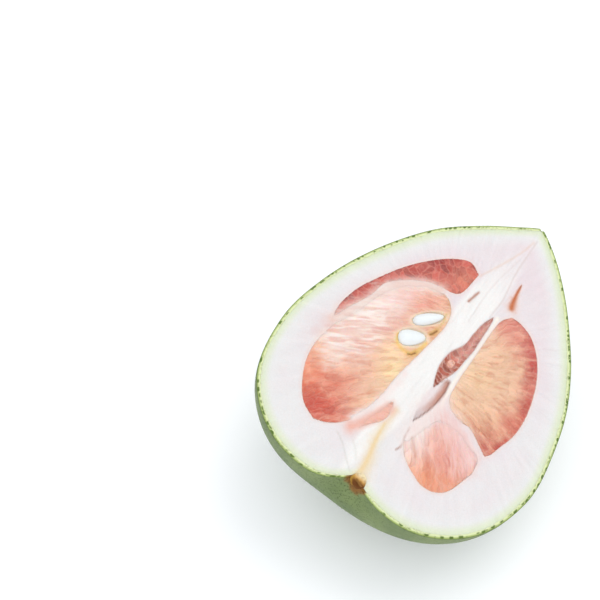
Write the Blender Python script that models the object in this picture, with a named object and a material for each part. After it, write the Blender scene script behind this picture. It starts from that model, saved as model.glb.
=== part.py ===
"""Half a pomelo, cut from stem to tip: peel, pulp segments, seeds and a stem remnant.

The half is modelled lying on its back. In its own frame +X runs from the stem to the
tip, +Y points to the side of the largest segment, and +Z points out of the cut face,
which is the plane Z = 0. An empty leans it over on the small flat spot it rests on.
Lengths are in metres, +Z is up in the world, and the floor is the world's Z = 0.
"""
import math

import bmesh
import bpy
import numpy as np
from mathutils import Matrix, Vector

MM = 0.001
GAP = 0.3 * MM
ON_PLANE = 0.001 * MM

# The resting pose: the turn about the world's Z, then the lean about the fruit's own axis.
HEADING = math.radians(54.6)
LEAN = math.radians(13.3)
CENTRE_ABOVE_FLOOR = 80.3 * MM
FLAT_SPOT_CENTRE = (-29 * MM, -3 * MM)

# Distances from the middle of the fruit's axis to its skin, at these angles from the tip.
SKIN_ANGLES = (0, 8, 20, 40, 60, 80, 100, 120, 140, 160, 172, 180)
SKIN_LARGE_SIDE = (95, 87, 79, 72, 69, 71.5, 80, 95, 110, 111, 104, 92.5)
SKIN_SMALL_SIDE = (95, 88, 79, 70, 68, 71, 78.5, 92.5, 104, 105, 99, 92.5)
SKIN_BACK = (95, 88, 80, 73, 71, 75, 83, 94, 101.5, 104, 102, 92.5)
SKIN_SEGMENTS = 56
SKIN_RINGS = 40

# Each chamber is a row of sections in the cut face, in millimetres: the two ends of each
# line across it. The first and last entries are the chamber's tips.
LARGE_SEGMENT = (
    ((-80, 36), (-80, 36)), ((-76, 45), (-77, 29)), ((-68, 52), (-71, 22.5)),
    ((-56, 58), (-62, 18.5)), ((-43, 60), (-47, 15.5)), ((-29, 58), (-32, 15)),
    ((-14, 53.5), (-16, 13)), ((2, 49), (0, 11)), ((13, 43), (10, 10.5)),
    ((21.5, 33), (18, 12.5)), ((24, 26), (23, 17)), ((24.5, 21), (24.5, 21)),
)
UPPER_SEGMENT = (
    ((-28, 61.5), (-28, 61.5)), ((-16, 62.5), (-15, 57.5)), ((-3, 60), (-3, 53)),
    ((9, 55), (8, 51)), ((21, 49), (16, 44.5)), ((33, 41), (24, 34)),
    ((44, 31), (27, 25)), ((50, 21), (31, 15)), ((47, 13), (47, 13)),
)
RIGHT_SEGMENT = (
    ((38, -16), (38, -16)), ((38, -22), (32, -12.5)), ((35, -31), (22, -12)),
    ((27, -40), (10, -12.5)), ((16, -47), (-2, -13)), ((4, -51.5), (-13, -13.5)),
    ((-8, -54), (-25, -16)), ((-19, -54), (-30, -25)), ((-29, -51.5), (-30, -33)),
    ((-35, -50), (-34.5, -42)), ((-38, -48), (-38, -48)),
)
LOWER_SEGMENT = (
    ((-50, -48), (-50, -48)), ((-66, -43.5), (-42, -46)), ((-72, -37), (-39, -39.5)),
    ((-73, -30), (-36, -32)), ((-71, -24), (-35.5, -25)), ((-68.5, -18.5), (-37, -18.5)),
    ((-65, -13.5), (-47, -13.5)), ((-60, -9.5), (-60, -9.5)),
)
SLIVER_SEGMENT = (
    ((-69, 14), (-69, 14)), ((-62, 13.5), (-63, 10.5)), ((-55, 11.5), (-57, 6.5)),
    ((-49, 9.5), (-50, 6)), ((-45, 8), (-45, 8)),
)
FISSURE = (
    ((-24, -4.5), (-24, -4.5)), ((-17, -1.5), (-15, -7)), ((-10, 0), (-8, -9)),
    ((-1, -0.5), (0, -9.5)), ((7, -4), (8, -10)), ((16, -4.5), (16, -9.5)),
    ((25, -5.5), (25, -9)), ((32, -8), (32, -8)),
)

# Name, sections, depth below the cut face, and the pulp's colour.
CHAMBERS = (
    ("segment_large", LARGE_SEGMENT, 38, (0.84, 0.42, 0.24)),
    ("segment_upper", UPPER_SEGMENT, 19, (0.66, 0.12, 0.07)),
    ("segment_right", RIGHT_SEGMENT, 34, (0.80, 0.40, 0.27)),
    ("segment_lower", LOWER_SEGMENT, 26, (0.86, 0.40, 0.28)),
    ("segment_sliver", SLIVER_SEGMENT, 9, (0.87, 0.45, 0.33)),
)
FISSURE_DEPTH = 18
CUTTER_RISE = 6 * MM
POD_SEGMENTS = 24
POD_LIFT = 1 * MM

# Seeds: name, centre in the cut face, height, heading in degrees, length, width, thickness.
SEEDS = (
    ("seed_long", (7, 20), -1.0, -41, 18, 7.2, 7.0),
    ("seed_round", (-8, 21), -1.2, -50, 15.6, 10, 7.4),
)
SEED_POINT = 0.28

STEM_INNER_END = -87.5 * MM
STEM_OUTER_END = -96 * MM
STEM_OFFSET = -2.8 * MM
STEM_RADIUS = 5.5 * MM
SOCKET_OUTER_END = -120 * MM

FLOOR_BLOCK = 400 * MM

PEEL_COLOUR = (0.82, 0.80, 0.70)
SEED_COLOUR = (0.86, 0.86, 0.80)
STEM_COLOUR = (0.22, 0.10, 0.02)


def clear_scene():
    """Remove every object, so that the script can be run again."""
    for old in list(bpy.data.objects):
        bpy.data.objects.remove(old, do_unlink=True)


def new_collection(name):
    """Make a collection in the scene."""
    collection = bpy.data.collections.new(name)
    bpy.context.scene.collection.children.link(collection)
    return collection


def make_material(name, colour, roughness):
    """Make a Principled material in one colour."""
    material = bpy.data.materials.new(name)
    material.use_nodes = True
    shader = material.node_tree.nodes["Principled BSDF"]
    shader.inputs["Base Color"].default_value = (*colour, 1.0)
    shader.inputs["Roughness"].default_value = roughness
    shader.inputs["Metallic"].default_value = 0.0
    return material


def add_object(name, mesh_builder, collection, pose, material=None):
    """Turn a bmesh into an object that hangs from the resting pose."""
    face_outward(mesh_builder)
    mesh = bpy.data.meshes.new(name)
    mesh_builder.to_mesh(mesh)
    mesh_builder.free()
    made = bpy.data.objects.new(name, mesh)
    made.parent = pose
    collection.objects.link(made)
    if material is not None:
        mesh.materials.append(material)
    return made


def smooth_curve(knots, values, wanted):
    """Read a smooth curve through the values at the knots, one column for each value."""
    knots = np.asarray(knots, float)
    values = np.asarray(values, float).reshape(len(knots), -1)
    slopes = np.gradient(values, knots, axis=0)
    wanted = np.clip(wanted, knots[0], knots[-1])
    at = np.clip(np.searchsorted(knots, wanted, side="right") - 1, 0, len(knots) - 2)
    width = knots[at + 1] - knots[at]
    t = ((wanted - knots[at]) / width)[:, None]
    width = width[:, None]
    return ((2 * t**3 - 3 * t**2 + 1) * values[at] + (t**3 - 2 * t**2 + t) * width * slopes[at]
            + (3 * t**2 - 2 * t**3) * values[at + 1] + (t**3 - t**2) * width * slopes[at + 1])


def lying_sphere(segments, rings):
    """Make a unit sphere whose poles lie on the X axis, with no vertex on its seam plane."""
    ball = bmesh.new()
    bmesh.ops.create_uvsphere(ball, u_segments=segments, v_segments=rings, radius=1.0)
    half_step = Matrix.Rotation(math.pi / segments, 4, "Z")
    lie_down = Matrix.Rotation(math.pi / 2, 4, "Y")
    bmesh.ops.transform(ball, matrix=lie_down @ half_step, verts=ball.verts)
    return ball


def keep_below_face(shape):
    """Cut a shape along the cut face, keep what is below it and close the cut."""
    cut = bmesh.ops.bisect_plane(
        shape, geom=shape.verts[:] + shape.edges[:] + shape.faces[:],
        plane_co=(0, 0, 0), plane_no=(0, 0, 1), clear_outer=True, dist=ON_PLANE)
    rim = [item for item in cut["geom_cut"] if isinstance(item, bmesh.types.BMEdge)]
    bmesh.ops.contextual_create(shape, geom=rim)
    return shape


def build_skin():
    """Shape the whole fruit from a sphere and keep the half below the cut face."""
    body = lying_sphere(SKIN_SEGMENTS, SKIN_RINGS)
    body.verts.ensure_lookup_table()
    directions = np.array([vertex.co[:] for vertex in body.verts])
    angle = np.degrees(np.arccos(np.clip(directions[:, 0], -1.0, 1.0)))
    large, small, back = (smooth_curve(SKIN_ANGLES, radii, angle)[:, 0]
                          for radii in (SKIN_LARGE_SIDE, SKIN_SMALL_SIDE, SKIN_BACK))
    across = directions[:, 1] / np.maximum(np.hypot(directions[:, 1], directions[:, 2]), 1e-9)
    side = np.where(across > 0, large, small)
    radius = (side * across**2 + back * (1 - across**2)) * MM
    for vertex, reach in zip(body.verts, radius):
        vertex.co *= reach
    return keep_below_face(body)


def face_outward(shape):
    """Turn a closed shape's faces outward."""
    if shape.calc_volume(signed=True) < 0:
        bmesh.ops.reverse_faces(shape, faces=shape.faces)
    shape.normal_update()


def build_pod(sections, depth, inset=0.0):
    """Shape a sphere into a pod under its outline in the cut face.

    Each ring of the sphere is a section across the pod: half an ellipse of the given
    depth below, and a low arch above. The pod's widest line is a little above the cut
    face, so that its two tips are cut off cleanly. An inset pod has its whole surface
    moved inward by that much, so it fits inside a plain one.
    """
    pairs = np.array(sections, float).reshape(len(sections), 4) * MM
    pod = lying_sphere(POD_SEGMENTS, 2 * len(sections))
    directions = np.array([vertex.co[:] for vertex in pod.verts])
    along = np.arccos(np.clip(directions[:, 0], -1.0, 1.0)) / math.pi
    line = smooth_curve(np.linspace(0.0, 1.0, len(sections)), pairs, along)
    middle = (line[:, :2] + line[:, 2:]) / 2
    half = (line[:, :2] - line[:, 2:]) / 2
    spread = np.maximum(np.hypot(directions[:, 1], directions[:, 2]), 1e-9)
    plane = middle + half * (directions[:, 1] / spread)[:, None]
    upward = directions[:, 2] / spread
    reach = np.where(upward > 0, CUTTER_RISE, depth * MM)
    height = POD_LIFT + reach * upward * np.sin(math.pi * along)
    for vertex, flat, z in zip(pod.verts, plane, height):
        vertex.co = (flat[0], flat[1], z)
    face_outward(pod)
    for vertex in pod.verts:
        vertex.co -= vertex.normal * inset
    return pod


def build_seed(length, width, thickness, grow=0.0):
    """Shape a sphere into a seed: blunt at one end and drawn out at the other."""
    seed = bmesh.new()
    bmesh.ops.create_icosphere(seed, subdivisions=3, radius=1.0)
    for vertex in seed.verts:
        x, y, z = vertex.co
        taper = 1.0 - SEED_POINT * (x + 0.35 * (1 - x * x))
        vertex.co = (x * (length * MM / 2 + grow),
                     y * taper * (width * MM / 2 + grow),
                     z * taper * (thickness * MM / 2 + grow))
    return seed


def place_seed(seed, centre, height, heading):
    """Turn a seed to its heading and move it to its place in the large segment."""
    place = (Matrix.Translation(Vector((centre[0], centre[1], height)) * MM)
             @ Matrix.Rotation(math.radians(heading), 4, "Z"))
    bmesh.ops.transform(seed, matrix=place, verts=seed.verts)
    return seed


def build_stem(radius, inner_end, outer_end):
    """Make the round woody plug of the stem, lying along the fruit's axis."""
    plug = bmesh.new()
    bmesh.ops.create_cone(plug, cap_ends=True, segments=24, radius1=radius,
                          radius2=radius, depth=inner_end - outer_end)
    lie_down = (Matrix.Translation(((inner_end + outer_end) / 2, STEM_OFFSET, 0.0))
                @ Matrix.Rotation(math.pi / 2, 4, "Y"))
    bmesh.ops.transform(plug, matrix=lie_down, verts=plug.verts)
    return plug


def cut_away(target, cutter):
    """Subtract a cutter from an object with an exact Boolean."""
    cut = target.modifiers.new(cutter.name, "BOOLEAN")
    cut.operation = "DIFFERENCE"
    cut.solver = "EXACT"
    cut.object = cutter


def build_block(size, centre):
    """Make a box used as a cutter."""
    box = bmesh.new()
    bmesh.ops.create_cube(box, size=size)
    bmesh.ops.translate(box, vec=centre, verts=box.verts)
    return box


def hide_cutters(cutters):
    """Show the cutters as wires and keep them out of renders."""
    for cutter in cutters.objects:
        cutter.hide_render = True
        cutter.display_type = "WIRE"


def build():
    """Build the half pomelo, resting on its flat spot with the floor at Z = 0."""
    clear_scene()
    fruit = new_collection("pomelo_half")
    cutters = new_collection("cutters")

    pose = bpy.data.objects.new("resting_pose", None)
    pose.rotation_mode = "XYZ"
    pose.rotation_euler = (LEAN, 0.0, HEADING)
    turn = pose.rotation_euler.to_matrix()
    flat_offset = turn @ Vector((*FLAT_SPOT_CENTRE, 0.0))
    pose.location = (-flat_offset.x, -flat_offset.y, CENTRE_ABOVE_FLOOR)
    fruit.objects.link(pose)

    peel = add_object("peel", build_skin(), fruit, pose,
                      make_material("peel", PEEL_COLOUR, 0.6))
    floor = build_block(FLOOR_BLOCK, (0, 0, -FLOOR_BLOCK / 2))
    cut_away(peel, add_object("floor_cutter", floor, cutters, None))

    for name, sections, depth, colour in CHAMBERS:
        hollow = build_pod(sections, depth)
        cut_away(peel, add_object(name + "_chamber", hollow, cutters, pose))
        pulp_pod = keep_below_face(build_pod(sections, depth, inset=GAP))
        pulp = add_object(name, pulp_pod, fruit, pose, make_material(name, colour, 0.35))
        if name == "segment_large":
            for seed_name, centre, height, heading, *size in SEEDS:
                socket = place_seed(build_seed(*size, grow=GAP), centre, height, heading)
                cut_away(pulp, add_object(seed_name + "_socket", socket, cutters, pose))
    fissure = build_pod(FISSURE, FISSURE_DEPTH)
    cut_away(peel, add_object("fissure_cutter", fissure, cutters, pose))

    seed_material = make_material("seed", SEED_COLOUR, 0.4)
    for seed_name, centre, height, heading, *size in SEEDS:
        seed = place_seed(build_seed(*size), centre, height, heading)
        add_object(seed_name, seed, fruit, pose, seed_material)

    socket = build_stem(STEM_RADIUS + GAP, STEM_INNER_END + GAP, SOCKET_OUTER_END)
    cut_away(peel, add_object("stem_socket", socket, cutters, pose))
    plug = keep_below_face(build_stem(STEM_RADIUS, STEM_INNER_END, STEM_OUTER_END))
    add_object("stem_remnant", plug, fruit, pose, make_material("stem", STEM_COLOUR, 0.8))
    hide_cutters(cutters)


build()
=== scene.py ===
"""The looks of half a pomelo, cut from stem to tip and lying on its back.

Everything is worked out in the fruit's own frame and in millimetres: +X runs from the
stem to the tip, +Y points to the side of the largest segment, and +Z out of the cut face,
which is the plane Z = 0. The resting pose then puts each mesh where the CAD model lies.
"""
import logging
import math
from dataclasses import dataclass
from enum import Enum

import bpy
import numpy as np
from mathutils import Matrix, Vector


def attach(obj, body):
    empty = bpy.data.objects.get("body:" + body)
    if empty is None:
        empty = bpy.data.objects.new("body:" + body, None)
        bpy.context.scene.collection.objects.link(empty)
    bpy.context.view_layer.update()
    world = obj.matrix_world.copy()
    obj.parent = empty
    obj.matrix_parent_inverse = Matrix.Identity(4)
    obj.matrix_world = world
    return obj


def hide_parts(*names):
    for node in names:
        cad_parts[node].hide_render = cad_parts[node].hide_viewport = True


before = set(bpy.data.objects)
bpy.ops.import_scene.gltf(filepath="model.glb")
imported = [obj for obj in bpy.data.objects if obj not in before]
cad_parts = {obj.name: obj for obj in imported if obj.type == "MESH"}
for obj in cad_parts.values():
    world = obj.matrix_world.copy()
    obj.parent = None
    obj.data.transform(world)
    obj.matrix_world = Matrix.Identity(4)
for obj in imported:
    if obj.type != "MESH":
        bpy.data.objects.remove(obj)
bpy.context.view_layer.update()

LOG = logging.getLogger("pomelo")
Colour = tuple[float, float, float]
Pairs = tuple[tuple[tuple[float, float], tuple[float, float]], ...]

MM = 0.001
DISPLAY_MAX = 255.0
STEM_PLACE = (-94.0, -3.0, 0.0)


def shade(red: int, green: int, blue: int) -> Colour:
    """Turn a display colour, 0 to 255, into the linear colour that shaders use.

    Args:
        red: The red value.
        green: The green value.
        blue: The blue value.

    Returns:
        The linear colour, 0 to 1.
    """
    values = np.array((red, green, blue)) / DISPLAY_MAX
    linear = np.where(values <= 0.04045, values / 12.92, ((values + 0.055) / 1.055) ** 2.4)
    return tuple(float(value) for value in linear)


def smooth_curve(knots: np.ndarray, values: np.ndarray, wanted: np.ndarray) -> np.ndarray:
    """Read a smooth curve through values at knots: a cubic between each pair of knots.

    Args:
        knots: The places of the values, rising.
        values: One row of values for each knot.
        wanted: The places to read.

    Returns:
        One row for each wanted place.
    """
    knots = np.asarray(knots, float)
    values = np.asarray(values, float).reshape(len(knots), -1)
    slopes = np.gradient(values, knots, axis=0)
    wanted = np.clip(wanted, knots[0], knots[-1])
    at = np.clip(np.searchsorted(knots, wanted, side="right") - 1, 0, len(knots) - 2)
    width = (knots[at + 1] - knots[at])[..., None]
    t = (wanted - knots[at])[..., None] / width
    return ((2 * t**3 - 3 * t**2 + 1) * values[at] + (t**3 - 2 * t**2 + t) * width * slopes[at]
            + (3 * t**2 - 2 * t**3) * values[at + 1] + (t**3 - t**2) * width * slopes[at + 1])


def ramp(start: float, end: float, value: np.ndarray) -> np.ndarray:
    """Rise smoothly from 0 at start to 1 at end.

    Args:
        start: Where the ramp leaves 0.
        end: Where the ramp reaches 1.
        value: The places to read.

    Returns:
        The ramp's height at each place.
    """
    t = np.clip((value - start) / (end - start), 0.0, 1.0)
    return t * t * (3 - 2 * t)


def bell(distance: np.ndarray, width: float) -> np.ndarray:
    """Fall off from 1 at no distance, in a bell of the given width."""
    return np.exp(-((distance / width) ** 2))


def mix(first: np.ndarray, second: Colour | np.ndarray, share: np.ndarray) -> np.ndarray:
    """Blend colours: the first where the share is 0, the second where it is 1."""
    return first * (1 - share[..., None]) + np.asarray(second, float) * share[..., None]


class Lattice:
    """Seeded random numbers on a square lattice that repeats every 256 steps."""

    SIZE = 256

    def __init__(self, seed: int) -> None:
        """Draw the lattice's numbers.

        Args:
            seed: The seed of the random numbers.
        """
        self.table = np.random.default_rng(seed).random((self.SIZE, self.SIZE))

    def at(self, i: np.ndarray, j: np.ndarray) -> np.ndarray:
        """Read the numbers at whole steps."""
        return self.table[i % self.SIZE, j % self.SIZE]

    def smooth(self, x: np.ndarray, y: np.ndarray) -> np.ndarray:
        """Blend the four corners round each place, with an eased weight.

        Args:
            x: Places along the first direction, in steps.
            y: Places along the second direction, in steps.

        Returns:
            Values from -1 to 1.
        """
        i = np.floor(x).astype(int)
        j = np.floor(y).astype(int)
        u = ramp(0.0, 1.0, x - i)
        v = ramp(0.0, 1.0, y - j)
        low = self.at(i, j) * (1 - u) + self.at(i + 1, j) * u
        high = self.at(i, j + 1) * (1 - u) + self.at(i + 1, j + 1) * u
        return (low * (1 - v) + high * v) * 2 - 1

    def layered(self, x: np.ndarray, y: np.ndarray, layers: int = 3) -> np.ndarray:
        """Add layers of smooth noise, each twice as fine and half as strong."""
        total = sum(self.smooth(x * 2**k + 17 * k, y * 2**k + 5 * k) / 2**k
                    for k in range(layers))
        return total / 1.6


@dataclass(frozen=True)
class Cells:
    """The cells of a jittered lattice, read at a set of places.

    The border is how much farther the next centre is than the nearest one, so it is 0
    between two cells. The tag is a random number for each cell.
    """

    border: np.ndarray
    tag: np.ndarray

    @staticmethod
    def read(p: np.ndarray, q: np.ndarray, seed: int) -> "Cells":
        """Find the nearest cell centre among the nine steps round each place.

        Args:
            p: Places along the cells, one cell length to a step.
            q: Places across the cells, one cell width to a step.
            seed: The seed of the jitter.

        Returns:
            The cells.
        """
        along, across, tags = Lattice(seed), Lattice(seed + 1), Lattice(seed + 2)
        i0 = np.floor(p).astype(int)
        j0 = np.floor(q).astype(int)
        nearest = np.full(p.shape, 9.0)
        second = np.full(p.shape, 9.0)
        tag = np.zeros(p.shape)
        for di in (-1, 0, 1):
            for dj in (-1, 0, 1):
                i, j = i0 + di, j0 + dj
                dp = p - i - 0.1 - 0.8 * along.at(i, j)
                dq = q - j - 0.15 - 0.7 * across.at(i, j)
                reach = np.hypot(dp, dq)
                closer = reach < nearest
                second = np.where(closer, nearest, np.minimum(second, reach))
                tag = np.where(closer, tags.at(i, j), tag)
                nearest = np.where(closer, reach, nearest)
        return Cells(second - nearest, tag)


def distance_to_line(x: np.ndarray, y: np.ndarray, line: np.ndarray) -> np.ndarray:
    """Find how far each place is from an open line: the least distance to its pieces."""
    best = np.full(x.shape, np.inf)
    for (ax, ay), (bx, by) in zip(line[:-1], line[1:]):
        dx, dy = bx - ax, by - ay
        t = np.clip(((x - ax) * dx + (y - ay) * dy) / max(dx * dx + dy * dy, 1e-9), 0, 1)
        best = np.minimum(best, np.hypot(x - ax - t * dx, y - ay - t * dy))
    return best


def distance_to_outline(x: np.ndarray, y: np.ndarray, outline: np.ndarray) -> np.ndarray:
    """Find how far each place is from a closed outline, below 0 inside it.

    Args:
        x: Places along X.
        y: Places along Y.
        outline: The outline's points, without the first one repeated.

    Returns:
        The distances, negative where the outline's edges pass the place an odd number
        of times on one side.
    """
    closed = np.vstack([outline, outline[:1]])
    inside = np.zeros(x.shape, bool)
    for (ax, ay), (bx, by) in zip(closed[:-1], closed[1:]):
        if ay == by:
            continue
        crosses = (ay > y) != (by > y)
        inside ^= crosses & (x < (bx - ax) * (y - ay) / (by - ay) + ax)
    return np.where(inside, -1.0, 1.0) * distance_to_line(x, y, closed)


@dataclass
class Patch:
    """A stretch of the cut face: its places, and the height and the colour of each."""

    x: np.ndarray
    y: np.ndarray
    z: np.ndarray
    colour: np.ndarray

    @classmethod
    def plain(cls, x: np.ndarray, y: np.ndarray, colour: Colour) -> "Patch":
        """Start a flat patch of one colour."""
        return cls(x, y, np.zeros(x.shape),
                   np.broadcast_to(np.array(colour), (*x.shape, 3)).copy())

    def tint(self, colour: Colour, share: np.ndarray) -> None:
        """Blend a colour in by a share."""
        self.colour = mix(self.colour, colour, share)

    def to_line(self, line: np.ndarray | tuple) -> np.ndarray:
        """Find how far each place is from an open line."""
        return distance_to_line(self.x, self.y, np.array(line, float))

    def to_outline(self, outline: np.ndarray | tuple) -> np.ndarray:
        """Find how far each place is from a closed outline, below 0 inside it."""
        return distance_to_outline(self.x, self.y, np.array(outline, float))

    def points(self) -> np.ndarray:
        """Give the places and the heights as points."""
        return np.stack([self.x, self.y, self.z], -1)


@dataclass(frozen=True)
class RestingPose:
    """The lean and the turn that put the fruit on its flat spot."""

    heading: float = math.radians(54.6)
    lean: float = math.radians(13.3)
    centre_height: float = 80.3
    flat_spot: tuple[float, float] = (-29.0, -3.0)

    def matrix(self) -> np.ndarray:
        """Give the turn from the fruit's frame to the world's."""
        turn = Matrix.Rotation(self.heading, 3, "Z") @ Matrix.Rotation(self.lean, 3, "X")
        return np.array(turn)

    def centre(self) -> np.ndarray:
        """Give the world place of the fruit's own origin, in millimetres."""
        offset = self.matrix() @ np.array((*self.flat_spot, 0.0))
        return np.array((-offset[0], -offset[1], self.centre_height))

    def place(self, points: np.ndarray) -> np.ndarray:
        """Move points from the fruit's frame, in millimetres, to the world, in metres."""
        return (points @ self.matrix().T + self.centre()) * MM


POSE = RestingPose()


@dataclass(frozen=True)
class Skin:
    """The outer surface of the fruit, as a distance from the middle of its axis.

    Each row of radii goes with the angles from the tip, in degrees.
    """

    angles: tuple[float, ...] = (0, 8, 20, 40, 60, 80, 100, 120, 140, 160, 172, 180)
    large_side: tuple[float, ...] = (95, 87, 79, 72, 69, 71.5, 80, 95, 110, 111, 104, 92.5)
    small_side: tuple[float, ...] = (95, 88, 79, 70, 68, 71, 78.5, 92.5, 104, 105, 99, 92.5)
    back: tuple[float, ...] = (95, 88, 80, 73, 71, 75, 83, 94, 101.5, 104, 102, 92.5)

    def radius(self, angle: np.ndarray, roll: np.ndarray) -> np.ndarray:
        """Read the distance to the skin.

        The section across the axis blends its side radius, by the square of the roll's
        cosine, into its back radius.

        Args:
            angle: The angle from the tip, in radians.
            roll: The angle about the axis, 0 at the large side and pi at the small one.

        Returns:
            The distances in millimetres.
        """
        degrees = np.degrees(angle)
        large, small, back = (smooth_curve(self.angles, radii, degrees)[..., 0]
                              for radii in (self.large_side, self.small_side, self.back))
        across = np.cos(roll)
        side = np.where(across > 0, large, small)
        return side * across**2 + back * (1 - across**2)

    def point(self, angle: np.ndarray, roll: np.ndarray, sunk: np.ndarray) -> np.ndarray:
        """Find the point at an angle and a roll, sunk below the skin."""
        reach = self.radius(angle, roll) - sunk
        ring = reach * np.sin(angle)
        return np.stack([reach * np.cos(angle), ring * np.cos(roll), ring * np.sin(roll)], -1)

    def rim(self, turn: np.ndarray, sunk: float) -> np.ndarray:
        """Find points of the cut face's rim, by their turn from the tip's direction."""
        roll = np.where(turn >= 0, 0.0, math.pi)
        return self.point(np.abs(turn), roll, sunk)[..., :2]


SKIN = Skin()


class Builder:
    """Turns grids of points into closed Blender meshes."""

    @staticmethod
    def mesh(name: str, points: np.ndarray, quads: np.ndarray, fans: np.ndarray,
             colours: np.ndarray | None,
             extras: dict[str, np.ndarray] | None = None,
             lowest: np.ndarray | float = 0.0) -> bpy.types.Object:
        """Make an object from points in the fruit's frame and its faces.

        Args:
            name: The object's name.
            points: The points, in millimetres.
            quads: The four-sided faces.
            fans: The three-sided faces.
            colours: A colour for each point, if the finish reads one.
            extras: Named values for each point, if the finish reads any.
            lowest: The least height above the floor, in millimetres.

        Returns:
            The object, with smooth faces that point outwards.
        """
        world = POSE.place(points)
        world[:, 2] = np.maximum(world[:, 2], lowest * MM)
        corners = world[fans] if len(fans) else np.zeros((0, 3, 3))
        split = np.concatenate([world[quads[:, [0, 1, 2]]], world[quads[:, [0, 2, 3]]], corners])
        volume = np.einsum("ij,ij->i", split[:, 0], np.cross(split[:, 1], split[:, 2])).sum()
        if volume < 0:
            quads, fans = quads[:, ::-1], fans[:, ::-1]
        made = bpy.data.meshes.new(name)
        made.vertices.add(len(world))
        made.vertices.foreach_set("co", world.ravel())
        loops = np.concatenate([quads.ravel(), fans.ravel()]).astype(np.int32)
        starts = np.concatenate([np.arange(len(quads)) * 4,
                                 len(quads) * 4 + np.arange(len(fans)) * 3])
        made.loops.add(len(loops))
        made.loops.foreach_set("vertex_index", loops)
        made.polygons.add(len(starts))
        made.polygons.foreach_set("loop_start", starts.astype(np.int32))
        made.update(calc_edges=True)
        made.validate()
        made.polygons.foreach_set("use_smooth", np.ones(len(made.polygons), bool))
        if colours is not None:
            layer = made.color_attributes.new("tint", "FLOAT_COLOR", "POINT")
            rgba = np.concatenate([colours, np.ones((len(colours), 1))], axis=1)
            layer.data.foreach_set("color", rgba.ravel())
        for label, values in (extras or {}).items():
            made.attributes.new(label, "FLOAT", "POINT").data.foreach_set("value", values)
        piece = bpy.data.objects.new(name, made)
        bpy.context.scene.collection.objects.link(piece)
        return piece

    @staticmethod
    def dress(piece: bpy.types.Object, finish: bpy.types.Material, slot: str,
              node: str | None = None) -> bpy.types.Object:
        """Give a new piece its material and enter it in the frame.

        Args:
            piece: The piece.
            finish: Its material.
            slot: The slot of the frame that its colour belongs to; not used.
            node: The CAD node that it covers, if it covers one.

        Returns:
            The piece.
        """
        piece.data.materials.append(finish)
        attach(piece, "root")
        if node is not None:
            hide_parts(node)
        LOG.info("%s: %d faces", piece.name, len(piece.data.polygons))
        return piece

    @staticmethod
    def ring_faces(rows: int, columns: int) -> np.ndarray:
        """List the faces between rings of points that close on themselves."""
        row, column = np.meshgrid(np.arange(rows - 1), np.arange(columns), indexing="ij")
        after = (column + 1) % columns
        return np.stack([row * columns + column, row * columns + after,
                         (row + 1) * columns + after, (row + 1) * columns + column],
                        -1).reshape(-1, 4)

    @classmethod
    def tube(cls, name: str, rings: np.ndarray, colours: np.ndarray | None = None,
             extras: dict[str, np.ndarray] | None = None,
             lowest: np.ndarray | None = None) -> bpy.types.Object:
        """Make a closed body from rings of points, with a pole at each end.

        Each pole is the middle of the ring next to it.

        Args:
            name: The object's name.
            rings: The points, as rings by points by three.
            colours: A colour for each point, in the same layout.
            extras: Named values for each point, as rings by points.
            lowest: The least height above the floor of each point, as rings by points.

        Returns:
            The object.
        """
        rows, columns = rings.shape[:2]
        poles = np.stack([rings[0].mean(0), rings[-1].mean(0)])
        points = np.concatenate([rings.reshape(-1, 3), poles])
        start, end = rows * columns, rows * columns + 1
        around = np.arange(columns)
        after = (around + 1) % columns
        last = (rows - 1) * columns
        fans = np.concatenate([
            np.stack([np.full(columns, start), after, around], -1),
            np.stack([np.full(columns, end), last + around, last + after], -1)])
        if colours is not None:
            colours = np.concatenate([colours.reshape(-1, 3), colours[0].mean(0)[None],
                                      colours[-1].mean(0)[None]])
        extras = {label: np.concatenate([values.ravel(), [values[0].mean(), values[-1].mean()]])
                  for label, values in (extras or {}).items()}
        floor = 0.0 if lowest is None else np.concatenate([lowest.ravel(), [0.0, 0.0]])
        return cls.mesh(name, points, cls.ring_faces(rows, columns), fans, colours, extras,
                        floor)


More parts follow.
